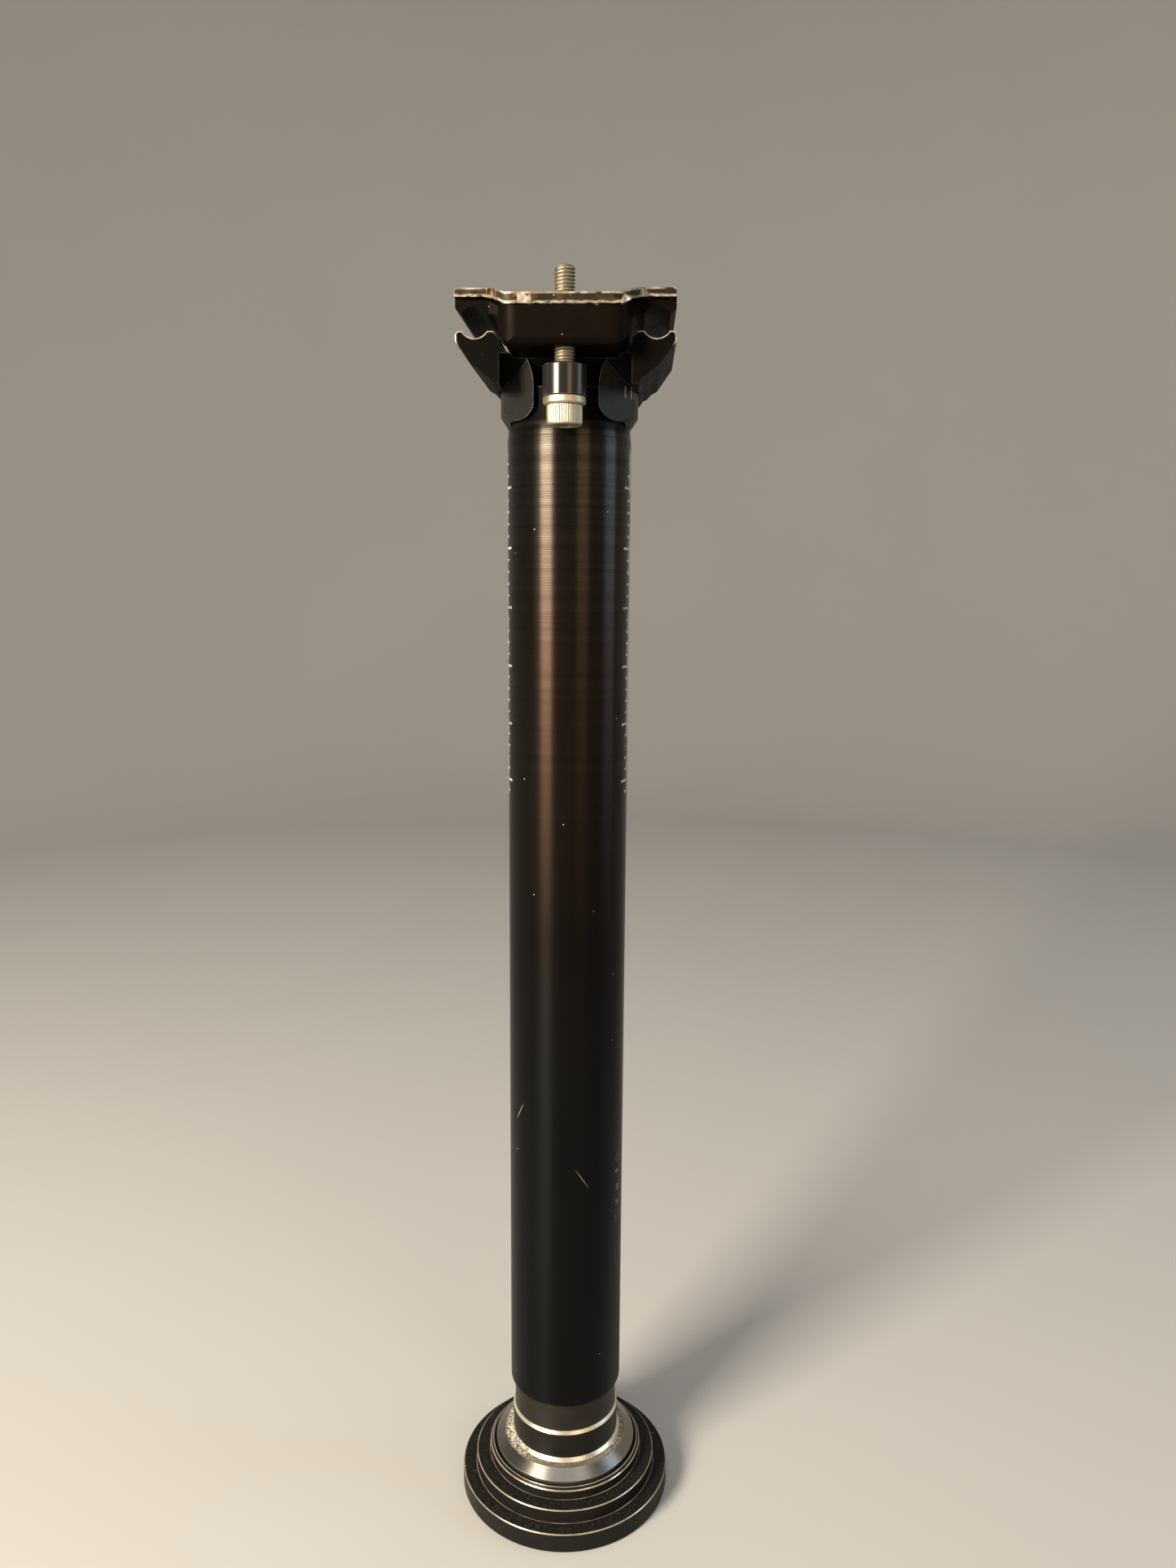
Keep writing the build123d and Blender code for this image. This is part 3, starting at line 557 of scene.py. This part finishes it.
def cone_ring_finish():
    """Satin turned ring; the crust from the ring above has crept over its inner edge."""
    f = Finish("foot_cone_turned")
    out = f.radius()
    turning = f.noise_along(out, 0.12 * MM, detail=4.0)
    colour = f.mix(turning, (0.26, 0.245, 0.22), (0.47, 0.45, 0.41))
    inner = f.ramp(out, *CONE_STAIN_R)
    stain = f.mix(f.noise(1.5 * MM, detail=5.0), (0.07, 0.058, 0.038), (0.21, 0.18, 0.12))
    colour = f.mix(inner, colour, stain)
    near = f.ramp(out, *CONE_CRUST_R)
    crust = f.product(near, f.patches(0.8 * MM, 0.38, 0.66, detail=6.0), crusted_sides(f))
    colour = f.mix(crust, colour, (0.74, 0.69, 0.57))
    dark_side = f.ramp(f.z, *CONE_DARK_SIDE_Z)
    colour = f.mix(dark_side, colour, (0.02, 0.019, 0.018))
    colour = f.mix(f.product(f.edges(0.2 * MM, 1.3), 0.7), colour, (0.8, 0.76, 0.68))
    height = f.math("ADD", turning, f.product(crust, 3.0))
    return f.surface(
        colour,
        f.blend(crust, f.blend(turning, 0.24, 0.34), 0.85),
        Metallic=f.product(f.inverse(crust), f.inverse(dark_side), f.blend(inner, 1.0, 0.4)),
        Anisotropic=0.8,
        Anisotropic_Rotation=ACROSS,
        Tangent=around_z(f),
        Normal=f.bumps(height, 0.012 * MM),
    )


def stem_finish():
    """Brown-grey satin steel with fine turning."""
    f = Finish("foot_stem_satin")
    cloud = f.noise(5.0 * MM, (1, 1, 0.6), detail=5.0)
    turning = f.noise_along(f.z, 0.15 * MM, detail=4.0)
    colour = f.mix(cloud, (0.012, 0.0098, 0.0078), (0.03, 0.0245, 0.02))
    colour = f.mix(f.product(turning, 0.25), colour, (0.048, 0.04, 0.033))
    # Darker towards the top of the stem
    darker_top = f.ramp(f.z, *STEM_DARKER_TOP_Z)
    colour = f.mix(f.product(darker_top, 0.8), colour, (0.02, 0.017, 0.014))
    return f.surface(
        colour,
        f.blend(turning, 0.36, 0.5),
        Metallic=0.7,
        Anisotropic=0.6,
        Anisotropic_Rotation=ACROSS,
        Tangent=around_z(f),
        Normal=f.bumps(f.math("ADD", turning, f.product(cloud, 0.5)), 0.01 * MM),
    )


def sleeve_finish():
    """Dark sleeve between the bright rings, with a little crust round its lower end."""
    f = Finish("foot_sleeve_dark")
    cloud = f.noise(4.0 * MM, detail=5.0)
    turning = f.noise_along(f.z, 0.15 * MM, detail=4.0)
    colour = f.mix(cloud, (0.005, 0.0042, 0.0034), (0.014, 0.0118, 0.009))
    low = f.ramp(f.z, *SLEEVE_CRUST_Z)
    crust = f.product(low, f.patches(0.6 * MM, 0.5, 0.75, detail=5.0), crusted_sides(f))
    colour = f.mix(f.product(crust, 0.5), colour, (0.4, 0.35, 0.26))
    return f.surface(
        colour,
        f.blend(crust, f.blend(turning, 0.28, 0.42), 0.8),
        Metallic=f.product(f.inverse(crust), 0.6),
        Anisotropic=0.6,
        Anisotropic_Rotation=ACROSS,
        Tangent=around_z(f),
        Normal=f.bumps(f.math("ADD", turning, f.product(crust, 3.0)), 0.01 * MM),
    )


def lines_at(f, out, *edges):
    """A thin line just inside each of these radii."""
    ends = [edge - LINE_SOFT for edge in edges]
    return f.most(*[f.between(out, end - LINE_WIDTH, end, LINE_SOFT) for end in ends])


def disc_finish():
    """Black discs: dusty faces, turned walls, a bright line at each edge, a dim one at each seam."""
    f = Finish("foot_disc_black")
    out = f.radius()
    flat = f.ramp(f.facing(UP), 0.6, 0.9)
    turning = f.blend(flat, f.noise_along(f.z, 0.2 * MM, 4.0), f.noise_along(out, 0.25 * MM, 4.0))
    cloud = f.noise(7.0 * MM, detail=6.0)
    colour = f.mix(cloud, (0.0035, 0.0032, 0.0029), (0.01, 0.009, 0.008))
    colour = f.mix(f.product(turning, 0.3), colour, (0.022, 0.02, 0.018))
    powder = f.product(flat, f.patches(0.7 * MM, 0.5, 0.75, detail=6.0))
    colour = f.mix(f.product(powder, 0.08), colour, (0.3, 0.27, 0.22))
    colour = f.mix(f.product(f.specks(2.4 * MM, 0.1, 0.14), 0.6), colour, DUST)
    smear = f.product(flat, f.patches(1.2 * MM, 0.68, 0.76, stretch=(2.5, 1, 1)))
    colour = f.mix(f.product(smear, 0.1), colour, (0.35, 0.32, 0.27))
    bevel = f.between(f.facing(UP), 0.5, 0.86, 0.06)
    patchy = f.patches(4.0 * MM, 0.3, 0.6, 0.35, 1.0, detail=5.0)
    upward = f.ramp(f.z, *DISC_UNDERSIDE_Z)
    lip = f.ramp(f.z, *SMALL_DISC_Z)
    # Bright lines at the disc edges and the small disc's lip: partly bare-metal wear, partly a
    # painted highlight where the chamfers catch the light from above
    lip_wear_and_painted_highlight = f.product(lip, lines_at(f, out, SMALL_DISC_R, SMALL_LIP_R))
    edge_wear_and_painted_highlight = f.product(bevel, lines_at(f, out, LARGE_DISC_R, MEDIUM_DISC_R))
    worn = f.product(f.most(lip_wear_and_painted_highlight, f.product(edge_wear_and_painted_highlight, 0.8)), patchy, upward)
    # The lines' colour: worn metal and painted highlight together
    colour = f.mix(worn, colour, (0.72, 0.6, 0.46))
    seams = lines_at(f, out, MEDIUM_DISC_R + SEAM_OUT, SMALL_DISC_R + SEAM_OUT)
    colour = f.mix(f.product(seams, flat, patchy, 0.75), colour, (0.36, 0.29, 0.24))
    return f.surface(
        colour,
        f.blend(worn, f.blend(powder, 0.38, 0.7), 0.22),
        Metallic=f.product(worn, 0.9),
        Specular_IOR_Level=f.blend(f.most(lip, f.inverse(flat)), 0.16, 0.1),
        Anisotropic=0.4,
        Anisotropic_Rotation=ACROSS,
        Tangent=around_z(f),
        Normal=f.bumps(f.math("ADD", turning, powder), 0.008 * MM),
    )


def wear(node, finish):
    """Gives a CAD node this finish alone."""
    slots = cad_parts[node].data.materials
    slots.clear()
    slots.append(finish)


def finish_cad_nodes():
    rings = foot_ring_finish()
    discs = disc_finish()
    plated = plated_finish()
    wear("post_body", post_finish())
    wear("upper_clamp", upper_clamp_finish())
    wear("lower_clamp", lower_clamp_finish())
    wear("foot_stem", stem_finish())
    wear("foot_sleeve", sleeve_finish())
    wear("foot_cone_ring", cone_ring_finish())
    for name in ("foot_lower_ring", "foot_upper_ring"):
        wear(name, rings)
    for name in ("foot_disc_large", "foot_disc_medium", "foot_disc_small"):
        wear(name, discs)
    for name in ("washer", "barrel_nut"):
        wear("front_" + name, plated)
        wear("rear_" + name, plated)
    for name in ("foot_washer", "foot_screw"):
        wear(name, plated)


# ------------------------------------------------------------------ clamp bolts
def loop(mesh, count, height, radius):
    """A loop of vertices at one height; radius(angle, index) gives each one's distance out."""
    made = []
    for index in range(count):
        angle = 2.0 * math.pi * index / count
        out = radius(angle, index)
        made.append(mesh.verts.new((out * math.cos(angle), out * math.sin(angle), height)))
    return made


def skin(mesh, first, second):
    """Faces between two loops; the first may have a whole number of times more vertices."""
    share = len(first) // len(second)
    for index in range(len(second)):
        following = (index + 1) % len(second)
        along = [first[(index * share + k) % len(first)] for k in range(share + 1)]
        mesh.faces.new([*along, second[following], second[index]])


def hexagon(angle):
    """Distance out to a hexagonal socket's wall."""
    sixth = math.pi / 3.0
    return SOCKET_HALF / math.cos(angle % sixth - sixth / 2.0)


def knurled(radius, depth):
    """Radius of the knurl: one vertex in four lies in the bottom of a flute."""
    cuts = (0.0, 0.3 * depth, depth, 0.3 * depth)
    return lambda angle, index: radius - cuts[index % 4]


def thread_radius(angle, height):
    """Right-hand thread with 60 degree flanks, fading out at the head and at the tip."""
    turn = (height / THREAD_PITCH - angle / (2.0 * math.pi)) % 1.0
    flank = (abs(turn - 0.5) * 2.0 - CREST_FLAT) / FLANK_SHARE
    crest = min(max(flank, 0.0), 1.0)
    runout = min(max((height - THREAD_START_Z) / THREAD_PITCH, 0.0), 1.0)
    out = THREAD_R - (THREAD_R - THREAD_ROOT_R) * (1.0 - crest) * runout
    lead_in = THREAD_R - TIP_CHAMFER + (TIP_Z - height)
    return min(out, lead_in)


def head_loops(mesh):
    """Loops from inside the socket, round the head, to the shank."""
    socket_top = HEAD_LOW_Z + SOCKET_DEPTH
    outline = [
        (socket_top + SOCKET_TIP_H, lambda a, i: SOCKET_TIP_R),
        (socket_top, lambda a, i: 0.9 * SOCKET_HALF),
        (socket_top, lambda a, i: hexagon(a)),
        (HEAD_LOW_Z + 0.35 * MM, lambda a, i: hexagon(a)),
        (HEAD_LOW_Z, lambda a, i: SOCKET_MOUTH_R),
        (HEAD_LOW_Z, lambda a, i: HEAD_R - HEAD_ROUNDING),
        (HEAD_LOW_Z + 0.16 * MM, lambda a, i: HEAD_R - 0.22 * MM),
        (HEAD_LOW_Z + 0.5 * MM, knurled(HEAD_R - 0.03 * MM, 0.1 * FLUTE_DEPTH)),
        (HEAD_LOW_Z + 0.8 * MM, knurled(HEAD_R, FLUTE_DEPTH)),
        (HEAD_TOP_Z - 0.3 * MM, knurled(HEAD_R, FLUTE_DEPTH)),
        (HEAD_TOP_Z - 0.1 * MM, lambda a, i: HEAD_R - 0.1 * MM),
        (HEAD_TOP_Z, lambda a, i: HEAD_R - 0.25 * MM),
    ]
    return [loop(mesh, HEAD_SEGMENTS, height, radius) for height, radius in outline]


def shank_loops(mesh):
    """Loops up the thread, from the head to the tip."""
    rows = round((TIP_Z - HEAD_TOP_Z) / THREAD_PITCH * ROWS_PER_TURN)
    made = []
    for row in range(rows + 1):
        height = HEAD_TOP_Z + (TIP_Z - HEAD_TOP_Z) * row / rows
        made.append(loop(mesh, SHANK_SEGMENTS, height, lambda a, i: thread_radius(a, height)))
    return made


def bolt_mesh():
    mesh = bmesh.new()
    loops = head_loops(mesh) + shank_loops(mesh)
    for first, second in zip(loops, loops[1:]):
        skin(mesh, first, second)
    mesh.faces.new(loops[0])
    mesh.faces.new(loops[-1])
    bmesh.ops.recalc_face_normals(mesh, faces=mesh.faces)
    for face in mesh.faces:
        face.smooth = True
    for edge in mesh.edges:
        in_head = min(vert.co.z for vert in edge.verts) < HEAD_TOP_Z + 0.01 * MM
        edge.smooth = not (in_head and edge.calc_face_angle(0.0) > math.radians(32))
    data = bpy.data.meshes.new("clamp_bolt")
    mesh.to_mesh(data)
    mesh.free()
    return data


def make_bolts():
    shape = bolt_mesh()
    shape.materials.append(bolt_finish())
    for end, y in (("front", -BOLT_Y), ("rear", BOLT_Y)):
        bolt = bpy.data.objects.new(end + "_bolt_threaded", shape)
        bolt.location = (0, y, 0)
        bpy.context.scene.collection.objects.link(bolt)
        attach(bolt, end + "_bolt")
        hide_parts(end + "_bolt")


# ------------------------------------------------------------------ studio and camera
STUDIO_R = 1.8
STUDIO_SIDES = 128
WALL_TOP = 2.4
BEND_R = 0.8
BEND_STEPS = 20
FLOOR_DROP = 0.1 * MM


# Name, azimuth, height, distance from the Z axis, size, radiance, colour, height it aims at
PANELS = (
    ("key", -40, 0.50, 0.9, (0.34, 0.24), 92.0, (1.0, 0.90, 0.74), 0.28),
    ("key_edge", -47, 0.50, 1.0, (0.6, 0.4), 3.0, (1.0, 0.80, 0.58), 0.28),
    ("fill", 29, 0.50, 1.0, (0.36, 0.35), 5.0, (1.0, 0.72, 0.46), 0.28),
    ("cool_right", 86, 0.5, 1.0, (0.42, 0.6), 3.1, (0.66, 0.83, 1.0), 0.28),
    ("over", 15, 1.7, 0.6, (1.3, 1.0), 1.0, (1.0, 0.97, 0.93), 0.0),
    ("back_wash", 180, 1.9, 0.4, (1.6, 0.8), 1.7, (1.0, 0.98, 0.95), 0.0),
)
WORLD_COLOUR = (0.95, 0.96, 1.0, 1.0)
WORLD_STRENGTH = 0.09


def pale_paper():
    f = Finish("studio_paper")
    colour = f.mix(f.noise(0.25, detail=2.0), (0.43, 0.42, 0.405), (0.46, 0.45, 0.435))
    return f.surface(colour, 0.9, Specular_IOR_Level=0.1)


def backdrop():
    """A round pale studio: flat under the object, curving up to a wall all round it."""
    profile = []
    for step in range(BEND_STEPS + 1):
        turn = math.pi / 2.0 * step / BEND_STEPS
        out = STUDIO_R - BEND_R + BEND_R * math.sin(turn)
        profile.append((out, BEND_R - BEND_R * math.cos(turn) - FLOOR_DROP))
    profile.append((STUDIO_R, WALL_TOP))
    mesh = bmesh.new()
    rings = [loop(mesh, STUDIO_SIDES, z, lambda a, i: r) for r, z in profile]
    mesh.faces.new(rings[0])
    for lower, upper in zip(rings, rings[1:]):
        skin(mesh, upper, lower)
    for face in mesh.faces:
        face.smooth = len(face.verts) == 4
    data = bpy.data.meshes.new("backdrop")
    mesh.to_mesh(data)
    mesh.free()
    data.materials.append(pale_paper())
    sheet = bpy.data.objects.new("backdrop", data)
    bpy.context.scene.collection.objects.link(sheet)


def panel(name, azimuth, height, distance, size, radiance, colour, aim_z):
    """A soft light panel; azimuth 0 is the camera's side and grows to the right, in degrees."""
    data = bpy.data.lights.new(name, "AREA")
    data.shape = "RECTANGLE"
    data.size, data.size_y = size
    data.energy = radiance * math.pi * size[0] * size[1]
    data.color = colour
    light = bpy.data.objects.new(name, data)
    turn = math.radians(azimuth)
    light.location = (distance * math.sin(turn), -distance * math.cos(turn), height)
    aim = Vector((0, 0, aim_z)) - light.location
    light.rotation_euler = aim.to_track_quat("-Z", "Y").to_euler()
    bpy.context.scene.collection.objects.link(light)


def studio():
    world = bpy.data.worlds.new("pale_world")
    world.use_nodes = True
    shade = world.node_tree.nodes["Background"]
    shade.inputs["Color"].default_value = WORLD_COLOUR
    shade.inputs["Strength"].default_value = WORLD_STRENGTH
    bpy.context.scene.world = world
    bpy.context.scene.view_settings.view_transform = "Standard"
    backdrop()
    for values in PANELS:
        panel(*values)


# Where the photographer stood, the angles in degrees, and the lens over the sensor's height in mm
CAMERA_PLACE = (0.0177, -0.3063, 0.2607)
CAMERA_DOWN = 9.672
CAMERA_LEFT = 2.3
CAMERA_ROLL = 0.4185
CAMERA_LENS = 26.58
SENSOR_HEIGHT = 36.0


def camera():
    data = bpy.data.cameras.new("camera")
    data.sensor_fit = "VERTICAL"
    data.sensor_height = SENSOR_HEIGHT
    data.lens = CAMERA_LENS
    made = bpy.data.objects.new("camera", data)
    made.location = CAMERA_PLACE
    pitch, yaw = math.radians(90.0 - CAMERA_DOWN), math.radians(CAMERA_LEFT)
    aim = Euler((pitch, 0.0, yaw), "XYZ").to_matrix()
    roll = Euler((0.0, 0.0, math.radians(CAMERA_ROLL)), "XYZ").to_matrix()
    made.rotation_euler = (aim @ roll).to_euler()
    bpy.context.scene.collection.objects.link(made)
    bpy.context.scene.camera = made


finish_cad_nodes()
make_bolts()
studio()
camera()
